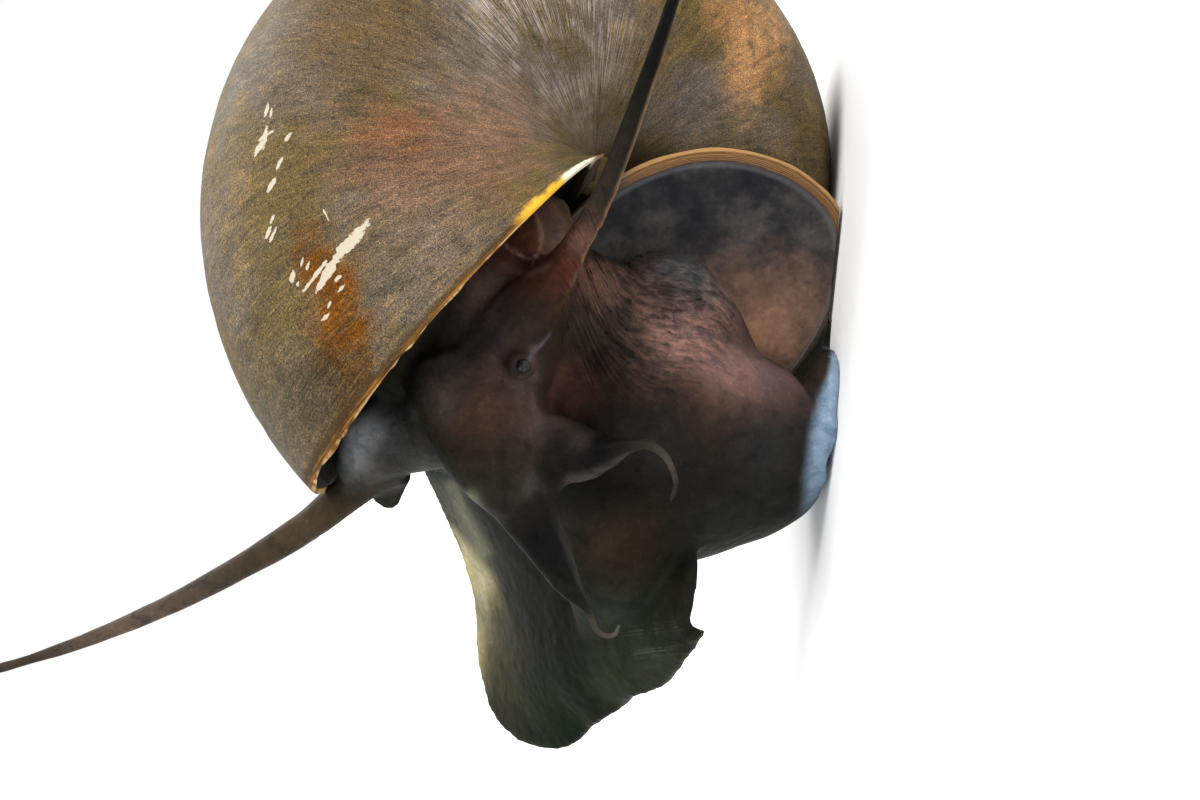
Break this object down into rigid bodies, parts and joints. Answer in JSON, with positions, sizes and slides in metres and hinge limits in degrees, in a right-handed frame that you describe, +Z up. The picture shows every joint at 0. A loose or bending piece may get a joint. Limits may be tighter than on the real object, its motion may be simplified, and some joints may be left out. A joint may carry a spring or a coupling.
{
  "type": "apple snail",
  "caption": "Still, life-size model of an apple snail at rest on its sole, front of the foot raised and feelers out, with shell, operculum and eyes.",
  "frame": {"origin": "centre of the flat sole, on the floor", "axes": "+Z up from the floor, -Y the way the animal faces, +X its left, the side that the camera sees"},
  "size_m": [0.0541, 0.0662, 0.0661],
  "materials": {
    "shell": "olive-brown shell with fine growth lines and a soft sheen",
    "horn": "brown horny plate, orange at its rim",
    "flesh": "moist dark grey-brown skin with fine wrinkles",
    "mantle": "moist dark mantle edge",
    "eye": "glossy black"
  },
  "bodies": {
    "root": {"eye_left": "eye", "eye_right": "eye", "eye_stalk_left": "flesh", "eye_stalk_right": "flesh", "foot_front": "flesh", "foot_middle": "flesh", "foot_sole": "flesh", "head": "flesh", "mantle": "mantle", "neck": "flesh", "operculum": "horn", "palp_left_1": "flesh", "palp_left_2": "flesh", "palp_right_1": "flesh", "palp_right_2": "flesh", "shell": "shell", "siphon": "flesh", "tentacle_left_1": "flesh", "tentacle_left_2": "flesh", "tentacle_left_3": "flesh", "tentacle_left_4": "flesh", "tentacle_right_1": "flesh", "tentacle_right_2": "flesh", "tentacle_right_3": "flesh", "tentacle_right_4": "flesh"}
  },
  "joints": []
}
